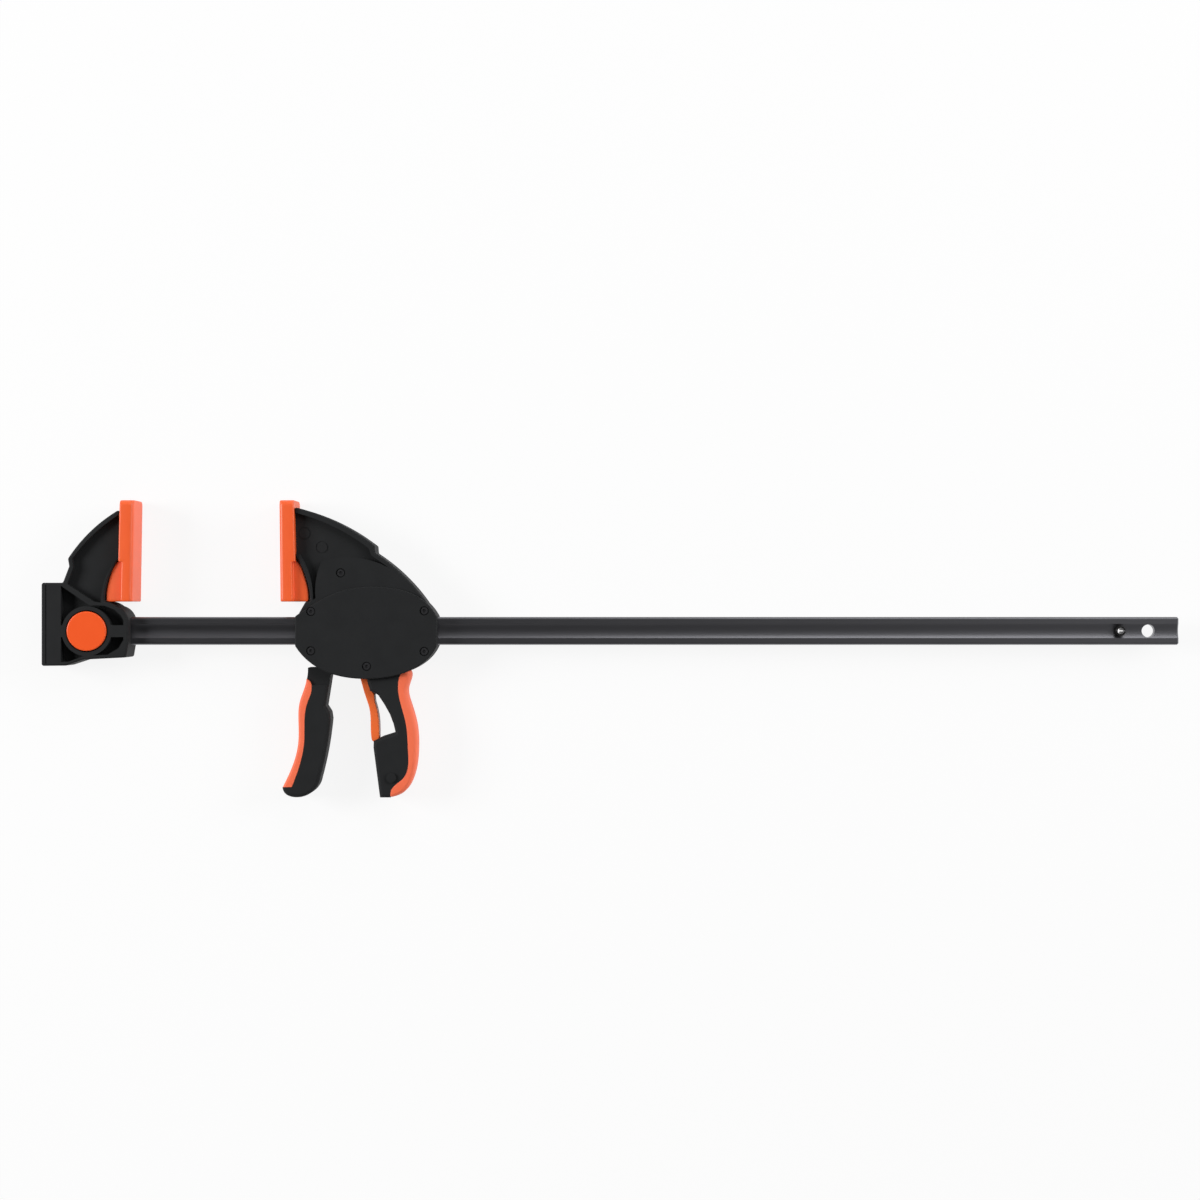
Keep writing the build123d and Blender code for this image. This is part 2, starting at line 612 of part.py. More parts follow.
# fork that reaches round the bar to the pivot, and carries the drive pin
with BuildSketch(MID) as fork:
    with BuildLine():
        Polyline(
            (144.9, -29.5), (146.2, -14.0), (149.5, 4.0), (153.6, 23.0), (162.0, 23.0),
            (161.9, -14.0), (160.8, -24.0), (157.2, -33.0), (154.6, -36.0),
            (144.9, -36.0), close=True,
        )
    make_face()
    with Locations(TRIGGER_PIVOT):
        Circle(6.4)

with BuildPart() as whole_trigger:
    slab(trigger_handle, -TRIGGER_HALF, TRIGGER_HALF)
    soften(whole_trigger, 0.6, 3.0)

with BuildPart() as trigger_overmould:
    add(whole_trigger.part)
    slab(trigger_strip, -TRIGGER_HALF, TRIGGER_HALF, Mode.INTERSECT)
save(trigger_overmould, "trigger_overmould")

with BuildPart() as trigger:
    add(whole_trigger.part)
    slab(trigger_strip, -TRIGGER_HALF, TRIGGER_HALF, Mode.SUBTRACT)
    # the neck narrows to pass between the housing's cheeks
    for side in (1, -1):
        low, high = sorted((side * FORK_HALF, side * (TRIGGER_HALF + 1)))
        block(120, -43.0, 170, -20, low, high, Mode.SUBTRACT)
    slab(fork, -FORK_HALF, FORK_HALF)
    block(140, -24.5, 175, 40, -FORK_GAP, FORK_GAP, Mode.SUBTRACT)
    rounds([TRIGGER_PIVOT], PIVOT_PIN_RADIUS + RUNNING_GAP, -FORK_HALF, FORK_HALF, Mode.SUBTRACT)
    rounds([DRIVE_PIN], DRIVE_PIN_RADIUS, -FORK_HALF, FORK_HALF, Mode.SUBTRACT)
save(trigger, "trigger")

with BuildPart() as drive_pin:
    rounds([DRIVE_PIN], DRIVE_PIN_RADIUS, -FORK_HALF, FORK_HALF)
    chamfer(drive_pin.edges(), 0.4)
save(drive_pin, "drive_pin")

# ---------------------------------------------------------------- drive plates and spring
PLATE_TOP = 16.4
PLATE_FOOT = -23.0
HOLE_V = BAR_WIDTH / 2 + 0.3
HOLE_HIGH = BAR_THICK / 2 + 0.4


def drive_plate(face_u, name):
    """Flat steel plate with an oblong hole for the bar."""
    rear_u = face_u + PLATE_THICK
    with BuildPart() as plate:
        block(face_u, PLATE_FOOT, rear_u, PLATE_TOP, -PLATE_HALF, PLATE_HALF)
        fillet(plate.edges().filter_by(Axis.X), 2.0)
        block(face_u, -HOLE_V, rear_u, HOLE_V, -HOLE_HIGH, HOLE_HIGH, Mode.SUBTRACT)
    save(plate, name)


drive_plate(DRIVE_FACE_U, "drive_plate_front")
drive_plate(DRIVE_FACE_U + PLATE_THICK, "drive_plate_rear")


def bar_spring(from_u, to_u, turns, name):
    """Compression spring round the bar."""
    start = MID.from_local_coords((from_u + SPRING_WIRE, 0, 0))
    length = to_u - from_u - 2 * SPRING_WIRE
    coil(start, (1, 0, 0), length, SPRING_WIRE, SPRING_RADIUS, turns, name)


bar_spring(DRIVE_FACE_U + 2 * PLATE_THICK + 0.3, WALL_FRONT_U - 0.1, 4, "drive_spring")
bar_spring(BRAKE_SPRING_FROM, BRAKE_SPRING_TO - 0.1, 5, "brake_spring")

# ---------------------------------------------------------------- brake plates
LEAN = radians(BRAKE_TILT)
SEAT_U, SEAT_V = BRAKE_SEAT
LEANING = Plane(MID.from_local_coords((SEAT_U, SEAT_V, 0)), x_dir=(cos(LEAN), -sin(LEAN), 0))


def brake_plate(behind, name):
    """Steel plate that leans on the bar with its foot forward and locks the jaw."""
    height = BRAKE_TOP - BRAKE_TAIL
    with BuildPart() as plate:
        with BuildSketch(LEANING):
            with Locations((behind + PLATE_THICK / 2, (BRAKE_TOP + BRAKE_TAIL) / 2 - SEAT_V)):
                Rectangle(PLATE_THICK, height)
        extrude(amount=BRAKE_HALF, both=True)
        with BuildSketch(LEANING):
            with Locations((behind + PLATE_THICK / 2, -SEAT_V)):
                Rectangle(2 * PLATE_THICK, 2 * HOLE_V)
        extrude(amount=HOLE_HIGH, both=True, mode=Mode.SUBTRACT)
    save(plate, name)


brake_plate(0, "brake_plate_front")
brake_plate(PLATE_THICK, "brake_plate_rear")

# ---------------------------------------------------------------- release lever
with BuildSketch(MID) as lever:
    with BuildLine():
        Polyline((179.7, -28.5), (178.5, -38.0), (181.6, -49.0), (184.6, -58.0))
        Spline((184.6, -58.0), (186.4, -67.0), (186.7, -78.0), (187.4, -86.0))
        ThreePointArc((187.4, -86.0), (190.4, -88.6), (193.4, -86.0))
        Spline((193.4, -86.0), (193.5, -76.0), (192.6, -66.0), (190.2, -56.5))
        Polyline((190.2, -56.5), (189.6, -50.6), (187.2, -46.0), (187.2, -34.0), (188.6, -28.5))
        Line((188.6, -28.5), (179.7, -28.5))
    make_face()
    with Locations(RELEASE_PIVOT):
        Circle(5.0)
    with Locations((187.5, -40.0)):
        Circle(1.8)
with BuildPart() as release_lever:
    slab(lever, -LEVER_HALF, LEVER_HALF)
    soften(release_lever, 1.0, 0.8)
    rounds([RELEASE_PIVOT], PIVOT_PIN_RADIUS + RUNNING_GAP, -LEVER_HALF, LEVER_HALF, Mode.SUBTRACT)
save(release_lever, "release_lever")
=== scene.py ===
# %% [markdown]
# # Quick release bar clamp: the looks
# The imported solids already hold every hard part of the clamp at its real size. This script
# dresses them: each solid gets the finish of its real material, and the soft parts, springs
# and screws are built again as smooth surfaces. Everything is in metres, in the solids' frame.

import bpy
import numpy as np
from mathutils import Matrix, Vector


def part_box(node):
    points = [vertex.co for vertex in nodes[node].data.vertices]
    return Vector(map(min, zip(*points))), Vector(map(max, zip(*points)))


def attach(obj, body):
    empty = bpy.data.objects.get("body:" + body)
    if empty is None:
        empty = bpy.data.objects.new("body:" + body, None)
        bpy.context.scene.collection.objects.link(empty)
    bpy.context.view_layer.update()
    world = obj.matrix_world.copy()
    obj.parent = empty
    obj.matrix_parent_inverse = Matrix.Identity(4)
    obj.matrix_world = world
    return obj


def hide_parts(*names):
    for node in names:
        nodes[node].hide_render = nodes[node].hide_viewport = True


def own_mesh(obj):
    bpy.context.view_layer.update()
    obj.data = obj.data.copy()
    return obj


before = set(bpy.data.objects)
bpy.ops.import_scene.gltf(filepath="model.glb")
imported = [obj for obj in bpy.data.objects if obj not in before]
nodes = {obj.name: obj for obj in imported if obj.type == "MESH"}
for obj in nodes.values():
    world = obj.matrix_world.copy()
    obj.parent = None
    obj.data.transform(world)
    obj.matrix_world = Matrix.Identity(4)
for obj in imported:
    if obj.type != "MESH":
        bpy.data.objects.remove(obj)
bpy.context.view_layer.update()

# %% [markdown]
# The clamp is easiest to describe along its bar. `u` runs along the bar from the fixed jaw's
# clamping face, `v` points to the jaw tips and `w` is height above the middle plane, all in
# millimetres. The bar's own box tells where that frame sits, so nothing is measured twice.

# %% Place points given along the bar
MM = 0.001
BAR_TAIL = 831.6  # u of the bar's tail

bar_low, bar_high = (np.array(corner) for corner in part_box("bar"))
ORIGIN = (bar_low + bar_high) / 2
ORIGIN[0] = bar_high[0] - BAR_TAIL * MM


def placed(points):
    """Row-frame metres of points given as (u, v, w) millimetres: the origin plus MM times each."""
    return ORIGIN + MM * np.asarray(points, float)


print("the bar's zero point is at", ORIGIN.round(5))

# %% [markdown]
# Pads, skins, springs and screws could each be modelled by hand or with modifiers. They share
# one simpler idea: a piece is a stack of rings, closed loops with the same number of points.
# Quads join each ring to the next and one flat face closes each end, so a piece is always
# closed. If the volume inside comes out negative, the rings run the wrong way round, and
# turning every face over mends that.

# %% Turn rings of points into a closed mesh
SMOOTH_BELOW = np.radians(38)  # edges that turn more than this stay crisp


def solid(name, stacks, body):
    """One object from stacks of rings, each an array of (ring, point, uvw).

    Point j of ring i joins points j and j + 1 of ring i + 1. The sum of each triangle's
    corner product a . (b x c) is six times the enclosed volume, and its sign tells outward."""
    vertices, faces, start = [], [], 0
    for rings in stacks:
        rows, columns, _ = rings.shape
        index = np.arange(rows * columns).reshape(rows, columns)
        here, there = index[:-1], index[1:]
        corners = [here, np.roll(here, -1, 1), np.roll(there, -1, 1), there]
        quads = np.stack(corners, axis=-1).reshape(-1, 4)
        points = placed(rings.reshape(-1, 3))
        a, b, c, d = (points[quads[:, k]] for k in range(4))
        volume = (a * np.cross(b, c)).sum() + (a * np.cross(c, d)).sum()
        for ring, turn in ((rings[0], -1), (rings[-1], 1)):
            end = placed(ring)
            volume += turn * (end[0] * np.cross(end[1:-1], end[2:])).sum()
        loops = [index[0][::-1].tolist(), index[-1].tolist()] + quads.tolist()
        outward = loops if volume > 0 else [loop[::-1] for loop in loops]
        faces += [[start + corner for corner in loop] for loop in outward]
        vertices.append(points)
        start += rows * columns
    mesh = bpy.data.meshes.new(name)
    mesh.from_pydata(np.concatenate(vertices).tolist(), [], faces)
    mesh.shade_smooth()
    mesh.set_sharp_from_angle(angle=SMOOTH_BELOW)
    piece = bpy.data.objects.new(name, mesh)
    bpy.context.scene.collection.objects.link(piece)
    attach(piece, body)
    print(f"{name}: {len(mesh.polygons)} faces on body {body}")
    return piece


# %% [markdown]
# The mouldings' edges are long easy curves. Each is drawn through a few points with the natural
# cubic spline that a bent batten would follow: its second derivative is continuous, and zero
# at both ends. The handles' solids pass through the same points, so that skin and nylon meet.

# %% Draw smooth curves
FINE_STEPS = 40  # steps per given point, before the curve is cut into even lengths


def curve(points, count):
    """count points, evenly spaced, on the natural cubic spline through points.

    The spline's parameter is chord length, and the second derivatives solve the usual
    three-term system between neighbouring spans."""
    points = np.asarray(points, float)
    span = np.linalg.norm(np.diff(points, axis=0), axis=1)
    knots = np.concatenate([[0], np.cumsum(span)])
    size = len(points)
    inner = np.arange(1, size - 1)
    system, right = np.eye(size), np.zeros_like(points)
    system[inner, inner - 1] = span[:-1]
    system[inner, inner] = 2 * (span[:-1] + span[1:])
    system[inner, inner + 1] = span[1:]
    slope = np.diff(points, axis=0) / span[:, None]
    right[inner] = 6 * np.diff(slope, axis=0)
    bend = np.linalg.solve(system, right)
    fine = np.linspace(0, knots[-1], FINE_STEPS * size)
    k = np.clip(np.searchsorted(knots, fine, side="right") - 1, 0, size - 2)
    h, s = span[k][:, None], (fine - knots[k])[:, None]
    first = slope[k] - h * (2 * bend[k] + bend[k + 1]) / 6
    dense = points[k] + s * first + s**2 * bend[k] / 2 + s**3 * (bend[k + 1] - bend[k]) / (6 * h)
    length = np.concatenate([[0], np.cumsum(np.linalg.norm(np.diff(dense, axis=0), axis=1))])
    even = np.linspace(0, length[-1], count)
    return np.column_stack([np.interp(even, length, column) for column in dense.T])


# %% [markdown]
# ## Soft jaw pads
# The pads are moulded from a rubbery thermoplastic, so they grip without marking the work.
# Each is a thick tile that leans a little. Behind its foot a narrower fin grows out of it, and
# a round valley joins the two. A box with bevels would give the tile but not the valley, so
# the whole pad is one shape, cut into level slices: a slice is drawn once as half an outline
# from the clamping face round to the fin, and then mirrored.

# %% Sizes of the two pads
PAD_TOP, PAD_FOOT, PAD_HALF = 104.0, 23.4, 18.0
TOP_CORNER = 4.5  # radius of the upper corners, seen along the bar
TOP_RIM, FOOT_RIM = 0.9, 0.8  # radii of the edges round the top and the foot
FACE_CORNER, BACK_CORNER = 3.0, 1.2  # radii of the tile's upright edges
FIN_HALF, FIN_CORNER, VALLEY = 12.8, 1.0, 0.9
SHOULDER = 55.2  # v where the fin begins
FIN_CUT = 2.6  # how far the fin's valley eats into the tile
FIN_LEAST = 0.3  # least reach of the fin, just under its shoulder
PADS = {
    "fixed_pad": dict(
        body="rail", face=(0.2, -1.1), back=(-10.8, -12.7),
        fin=[(-22.6, 24.0), (-22.0, 33.8), (-19.2, 44.5), (-14.6, 54.0), (-12.3, 56.4)],
    ),
    "movable_pad": dict(
        body="carriage", face=(115.4, 116.3), back=(127.0, 129.0),
        fin=[(138.0, 24.0), (137.5, 33.8), (134.9, 43.0), (130.7, 53.6), (128.2, 56.4)],
    ),
}
print("pads:", PAD_TOP - PAD_FOOT, "mm tall and", 2 * PAD_HALF, "mm wide")

# %% [markdown]
# Round edges need two small helpers: one draws the quarter circle of a corner within a slice,
# the other says how much a whole slice shrinks near the top or the foot.

# %% Round a corner and an edge
def quarter(centre, radius, start, steps=6):
    """Quarter circle round centre, from angle start (degrees) on to start + 90."""
    turn = np.radians(np.linspace(start, start + 90, steps))
    return np.column_stack([centre[0] + radius * np.cos(turn), centre[1] + radius * np.sin(turn)])


def fallen(past, radius):
    """How far a round edge has fallen in, past millimetres beyond where it starts: the radius
    minus the square root of radius squared minus past squared."""
    past = np.clip(past, 0.0, radius)
    return radius - np.sqrt(radius**2 - past**2)


print("an edge of radius 3 has fallen", round(fallen(2.0, 3.0), 3), "mm in, 2 mm past its start")


# %% Draw one slice of a pad
def pad_slice(depth, reach, half, sunk):
    """Half a slice as (d, w): d runs back from the clamping face, w out from the middle.

    depth is the tile's thickness, reach how far the fin stands behind it (0 above the fin),
    half the tile's half width, and sunk how far the slice has shrunk inside the rims. The line
    runs out along the clamping face, round its corner, straight back to the back's corner,
    through the valley, round the fin's corner and in along the fin's end."""
    wide = half - sunk
    cut, valley = (FIN_CUT, VALLEY) if reach > 0 else (0.0, 0.0)
    rear = depth - sunk - cut
    shoulder = wide - BACK_CORNER
    fin_half = min(FIN_HALF - sunk, shoulder)
    end = max(reach + cut - sunk, 0.0)
    nose = min(FIN_CORNER, 0.5 * max(end - valley, 0.0))
    flat = wide - FACE_CORNER
    face = np.column_stack([np.full(4, sunk), np.linspace(0, flat, 4, endpoint=False)])
    front = quarter((sunk + FACE_CORNER, flat), FACE_CORNER, 90)[::-1]
    back = quarter((rear - BACK_CORNER, shoulder), BACK_CORNER, 0, 8)[::-1]
    cove = quarter((rear + valley, fin_half + valley), valley, 180)
    tip = quarter((rear + end - nose, fin_half - nose), nose, 0)[::-1]
    close = np.column_stack([np.full(3, rear + end), np.linspace(fin_half - nose, 0, 4)[1:]])
    return np.concatenate([face, front, back, cove, tip, close])


print("points in half a slice:", len(pad_slice(11.0, 9.0, PAD_HALF, 0.0)))

# %% [markdown]
# The slices' levels crowd together where an edge is round or the fin begins, and are sparse
# where the pad is plain.

# %% Choose the levels of the slices
turn = np.radians(np.linspace(0, 90, 15))
PAD_LEVELS = np.concatenate([
    PAD_FOOT + FOOT_RIM * (1 - np.cos(turn[::3])),  # the foot's rim
    np.arange(PAD_FOOT + 2.2, 53.0, 1.6),  # the fin
    [54.0, SHOULDER - 0.3, SHOULDER + 0.3],  # its shoulder
    np.arange(58.0, PAD_TOP - TOP_CORNER - 1, 4.0),  # the plain tile
    PAD_TOP - TOP_CORNER * (1 - np.sin(turn)),  # the upper corners
])
print("slices in a pad:", len(PAD_LEVELS))


# %% Stack the slices into a pad
def pad_rings(face, back, fin):
    """Slices from foot to top. Face and back lean in a straight line, so their u goes from the
    first value at the top to the second at the foot in proportion to the fall. The upper
    corners narrow a slice's half width, and the rims of top and foot make it sink all round."""
    away = np.sign(back[0] - face[0])
    edge_u, edge_v = curve(fin, 60).T
    rings = []
    for v in PAD_LEVELS:
        fall = (PAD_TOP - v) / (PAD_TOP - PAD_FOOT)
        front = face[0] + fall * (face[1] - face[0])
        rear = back[0] + fall * (back[1] - back[0])
        behind = away * (np.interp(v, edge_v, edge_u) - rear)
        reach = max(behind, FIN_LEAST) if v < SHOULDER else 0.0
        half = PAD_HALF - fallen(v - (PAD_TOP - TOP_CORNER), TOP_CORNER)
        sunk = fallen(v - (PAD_TOP - TOP_RIM), TOP_RIM) + fallen(PAD_FOOT + FOOT_RIM - v, FOOT_RIM)
        d, w = pad_slice(abs(rear - front), reach, half, sunk).T
        u = front + away * d
        whole_u, whole_w = np.concatenate([u, u[-2:0:-1]]), np.concatenate([w, -w[-2:0:-1]])
        rings.append(np.column_stack([whole_u, np.full(len(whole_u), v), whole_w]))
    return np.stack(rings)


pads = []
for name, pad in PADS.items():
    rings = pad_rings(pad["face"], pad["back"], pad["fin"])
    piece = solid(f"soft_{name}", [rings], pad["body"])
    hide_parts(name)
    pads.append(piece)

# %% [markdown]
# ## Overmoulded skins
# The back of the grip and the front of the trigger carry a second shot of rubber, moulded
# over the nylon. Cutting them out of the handles would leave hard edges, so a skin is a ribbon
# between its seam and its outer edge: each ring is an oblong, nearly sharp at the seam and
# generously round where the hand closes on it.

# %% Seams and outer edges of the two skins
GRIP_HALF, TRIGGER_HALF = 12.5, 11.0
PROUD = 0.12  # how far a skin stands above the nylon beside it
RINGS = 72  # rings along each skin
GRIP_BOTTOM = -132.4
GRIP_BACK = [
    (203.0, GRIP_BOTTOM), (213.0, -128.6), (221.0, -116.0), (224.3, -94.0), (223.2, -75.0),
    (218.2, -57.0), (216.4, -45.0), (218.8, -33.0), (214.0, -28.0),
]
GRIP_SEAM = [
    (203.0, GRIP_BOTTOM), (203.8, -126.2), (213.2, -117.0), (217.0, -94.0), (215.4, -73.9),
    (211.0, -57.0), (209.1, -45.0), (211.4, -33.0), (214.0, -28.0),
]
TRIGGER_FRONT = [
    (137.0, -29.0), (135.2, -42.0), (130.2, -57.5), (129.4, -72.0), (129.1, -90.0),
    (124.5, -107.8), (116.8, -124.5),
]
TRIGGER_SEAM = [
    (137.8, -38.8), (140.4, -46.0), (137.0, -57.0), (134.9, -68.0), (134.5, -88.0),
    (130.8, -106.8), (124.6, -124.0),
]
TRIGGER_SKIN_TOP = -38.1  # v where the trigger's skin begins, below the housing
SEAM_STEP = (0.3, 0.1)  # from the skin's first outer point to its first seam point
FRONT_POINTS, FRONT_STRIDE = 400, 12  # the front is drawn fine, cut off, then thinned
print("the grip's skin ends", -GRIP_BOTTOM, "mm below the bar's centre line")


# %% Build the two skins
def skin(seam, edge, half, reach, drop, crisp=0.35):
    """Rings of a ribbon between two curves. With x from 0 at the seam to the ribbon's width,
    the outer corners are quarter ellipses, reach deep and drop tall: x = width - reach
    (1 - cos t), w = half - drop (1 - sin t). The corners at the seam are crisp in radius.
    Where the ribbon is narrow, reach and crisp shrink to a share of its width."""
    across = edge - seam
    width = np.linalg.norm(across, axis=1, keepdims=True)
    across = across / width
    turn = np.linspace(0, np.pi / 2, 8)
    reach, crisp = np.minimum(reach, 0.8 * width), np.minimum(crisp, 0.1 * width)
    outer_x, seam_x = width - reach * (1 - np.cos(turn)), crisp * (1 - np.sin(turn))
    outer_w = half - drop * np.ones_like(width) * (1 - np.sin(turn))
    seam_w = half - crisp * (1 - np.cos(turn))
    x = np.concatenate([outer_x, seam_x], axis=1)
    w = np.concatenate([outer_w, seam_w], axis=1)
    x = np.concatenate([x, x[:, ::-1]], axis=1)
    w = np.concatenate([w, -w[:, ::-1]], axis=1)
    u, v = seam[:, :1] + x * across[:, :1], seam[:, 1:] + x * across[:, 1:]
    return np.stack([u, v, w], axis=-1)


grip_edge, grip_seam = curve(GRIP_BACK, RINGS)[1:-1], curve(GRIP_SEAM, RINGS)[1:-1]
grip_skin = solid(
    "grip_skin", [skin(grip_seam, grip_edge, GRIP_HALF + PROUD, reach=3.0, drop=5.0)],
    "carriage",
)
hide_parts("grip_overmould")

front_line = curve(TRIGGER_FRONT, FRONT_POINTS)
front_line = front_line[front_line[:, 1] < TRIGGER_SKIN_TOP]
trigger_edge = curve(front_line[::FRONT_STRIDE], RINGS)
trigger_seam = curve([front_line[0] + SEAM_STEP] + TRIGGER_SEAM, RINGS)
trigger_skin = solid(
    "trigger_skin", [skin(trigger_seam, trigger_edge, TRIGGER_HALF + PROUD, reach=2.4, drop=4.0)],
    "trigger",
)
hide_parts("trigger_overmould")

# %% [markdown]
# ## Springs
# Three coil springs hide in the clamp. A curve object with a bevel would draw one, but ends
# that are closed, as a spring winder leaves them, are easier to work out: a round wire is
# carried along a helix that climbs slowly at both ends. The brake's keeps its length,
# because its plates move by about a millimetre only and stay clear of it.

# %% Carry a wire along a helix
WIRE_POINTS = 12  # points round the wire
TURN_POINTS = 40  # rings in one turn
CLOSING = 0.12  # how strongly the end turns close up


def spring(start, direction, length, wire, radius, turns):
    """Rings of wire along a helix. With t from 0 to 1 the wire's middle is start +
    direction * length * s(t) + radius (e1 cos a + e2 sin a), where a = 2 pi turns t and
    s(t) is slow at both ends: t minus CLOSING sin 2 pi t."""
    direction = np.asarray(direction, float)
    side = np.roll(direction, 1)
    other = np.cross(direction, side)
    t = np.linspace(0, 1, int(turns * TURN_POINTS) + 1)[:, None]
    angle = 2 * np.pi * turns * t
    along = length * (t - CLOSING * np.sin(2 * np.pi * t))
    out = side * np.cos(angle) + other * np.sin(angle)
    middle = np.asarray(start) + direction * along + radius * out
    tangent = np.gradient(middle, axis=0)
    tangent /= np.linalg.norm(tangent, axis=1, keepdims=True)
    upward = np.cross(tangent, out)
    turn = np.linspace(0, 2 * np.pi, WIRE_POINTS, endpoint=False)[None, :, None]
    return middle[:, None] + wire * (np.cos(turn) * out[:, None] + np.sin(turn) * upward[:, None])


def coil(name, body, **shape):
    """A spring piece that stands for the plain coil of the same name."""
    piece = solid(f"wound_{name}", [spring(**shape)], body)
    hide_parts(name)
    return piece


# %% Wind the two springs round the bar
DRIVE_FROM, DRIVE_TO = 169.0, 187.3
BRAKE_FROM, BRAKE_TO = 198.1, 223.5
WIRE = 0.7  # radius of the wire
COIL_RADIUS = 12.6
drive_spring = coil(
    "drive_spring", "carriage", start=(DRIVE_FROM + WIRE, 0, 0), direction=(1, 0, 0),
    length=DRIVE_TO - DRIVE_FROM - 2 * WIRE, wire=WIRE, radius=COIL_RADIUS, turns=5,
)
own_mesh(drive_spring)
brake_spring = coil(
    "brake_spring", "carriage", start=(BRAKE_FROM + WIRE, 0, 0), direction=(1, 0, 0),
    length=BRAKE_TO - BRAKE_FROM - 2 * WIRE, wire=WIRE, radius=COIL_RADIUS, turns=6,
)

# %% [markdown]
# The button's spring has two turns only, of thin wire, so that it closes nearly flat when the
# button is pushed.

# %% Wind the button's spring
BUTTON = (-37.6, 0.0)
BUTTON_SEAT = 6.1  # w of the floor that the spring stands on
BUTTON_WIRE = 0.4
button_spring = coil(
    "button_spring", "rail", start=(*BUTTON, BUTTON_SEAT + BUTTON_WIRE), direction=(0, 0, 1),
    length=6.9, wire=BUTTON_WIRE, radius=9.2, turns=2,
)
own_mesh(button_spring)

# %% [markdown]
# ## Screws
# Seven pan-head screws hold the two halves of the housing together. A head is a surface of
# revolution, so rings round its axis suit it. Its six-lobed drive could be cut with a boolean,
# but a ring whose radius swings six times with the angle does the same and stays clean.

# %% Sizes of the housing screws
SCREWS = np.array([
    (140.4, 15.6, 17.0), (140.4, -15.6, 17.0), (230.3, 16.1, 17.0), (230.3, -16.1, 17.0),
    (184.6, -27.9, 17.0), (163.8, 46.2, 15.0), (203.7, -116.5, 12.5),
])  # u, v and the height of the face that each is sunk into
HEAD_SINK, HEAD_THICK, HEAD_RADIUS = 0.7, 2.2, 3.5
DOME_REACH, DOME_DROP = 1.0, 0.9  # half axes of the ellipse round the head's edge
SHANK_RADIUS, TIP_RADIUS = 1.55, 1.0
SHANK_STOP, TIP_STOP = 5.0, 4.6  # how far shank and tip end short of the far face
LOBE_RADIUS, LOBE_SWING, LOBE_DEPTH = 1.3, 0.14, 0.9
LOBE_FLOOR, LOBE_WALL = 0.85, 0.97  # the drive narrows downwards to these shares
LOBE_BREAK, LOBE_FLARE = 0.15, 0.12  # depth and reach of the broken edge round the drive
RING_POINTS = 48
print("housing screws:", len(SCREWS))


# %% Turn the housing screws
def screw(u, v, face):
    """Rings down one screw: the drive's floor, its lobed wall r = R (1 + swing cos 6a), the
    domed head, whose edge is a quarter ellipse, and the shank down to its blunt end."""
    angle = np.linspace(0, 2 * np.pi, RING_POINTS, endpoint=False)
    lobes = LOBE_RADIUS * (1 + LOBE_SWING * np.cos(6 * angle))
    top = face - HEAD_SINK
    under = top - HEAD_THICK
    turn = np.linspace(0, np.pi / 2, 7)
    dome_r = HEAD_RADIUS - DOME_REACH * (1 - np.sin(turn))
    dome_w = top - DOME_DROP * (1 - np.cos(turn))
    profile = [
        (LOBE_FLOOR * lobes, top - LOBE_DEPTH), (LOBE_WALL * lobes, top - LOBE_BREAK),
        (lobes + LOBE_FLARE, top),
    ]
    profile += zip(dome_r, dome_w)
    profile += [
        (HEAD_RADIUS, under), (SHANK_RADIUS, under),
        (SHANK_RADIUS, SHANK_STOP - face), (TIP_RADIUS, TIP_STOP - face),
    ]
    return np.stack([
        np.column_stack([u + r * np.cos(angle), v + r * np.sin(angle), np.full(RING_POINTS, w)])
        for r, w in profile
    ])


screws = solid("six_lobe_screws", [screw(*place) for place in SCREWS], "carriage")
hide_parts("housing_screws")

# %% [markdown]
# ## Finishes
# The clamp has eleven finishes, and all are built the same way, so that their differences are
# plain to read: a colour, a shade, a roughness and the sizes of their patterns. Hex colours
# are sRGB, as a paint shop gives them; shaders want linear light.

# %% Colours and pattern sizes
def linear(hex_colour):
    """sRGB hex to linear: c / 12.92 up to 0.04045, else ((c + 0.055) / 1.055) to the 2.4."""
    srgb = np.array([int(hex_colour[i:i + 2], 16) for i in (1, 3, 5)]) / 255
    return (*np.where(srgb <= 0.04045, srgb / 12.92, ((srgb + 0.055) / 1.055) ** 2.4), 1.0)


def per_mm(size):
    """Texture scale at which one cell of a pattern is size millimetres wide: 1 / metres."""
    return 1 / (size * MM)


print("mid grey #808080 is", round(linear("#808080")[0], 3), "in linear light")


# %% [markdown]
# `add_node` is the one helper for shader nodes: it sets a node's properties and either sets
# or links each input.

# %% Build a finish from nodes
def add_node(tree, kind, inputs=None, **settings):
    """Add a node to tree: settings are its properties, inputs its sockets' values or links."""
    node = tree.nodes.new(kind)
    for key, value in settings.items():
        setattr(node, key, value)
    for key, value in (inputs or {}).items():
        if isinstance(value, bpy.types.NodeSocket):
            tree.links.new(value, node.inputs[key])
        else:
            node.inputs[key].default_value = value
    return node


